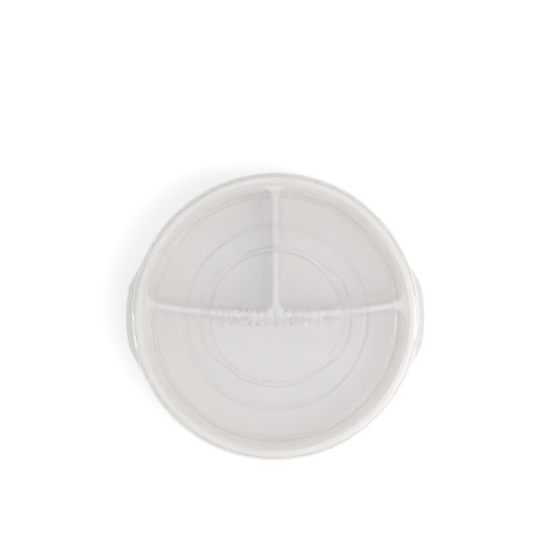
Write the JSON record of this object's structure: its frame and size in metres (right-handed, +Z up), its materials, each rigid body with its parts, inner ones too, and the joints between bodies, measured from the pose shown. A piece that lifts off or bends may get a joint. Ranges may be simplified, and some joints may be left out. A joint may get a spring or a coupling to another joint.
{
  "type": "divided plate with lid",
  "caption": "Round divided plate for a child, with a clear press-on lid that lifts off by its finger tabs and takes another plate's foot ring for stacking.",
  "frame": {"origin": "middle of the foot ring's underside, on the surface that the plate stands on", "axes": "+Z up; +X through the middle of a finger tab; +Y towards the smaller compartments"},
  "size_m": [0.197, 0.19, 0.0366],
  "materials": {
    "plate_plastic": "gloss",
    "lid_plastic": "clear gloss"
  },
  "bodies": {
    "plate": {"plate": "plate_plastic"},
    "lid": {"lid": "lid_plastic"}
  },
  "joints": [
    {"name": "lid_lift", "type": "slide", "parent": "plate", "child": "lid", "axis": [0, 0, 1], "range_m": [0, 0.08]}
  ]
}
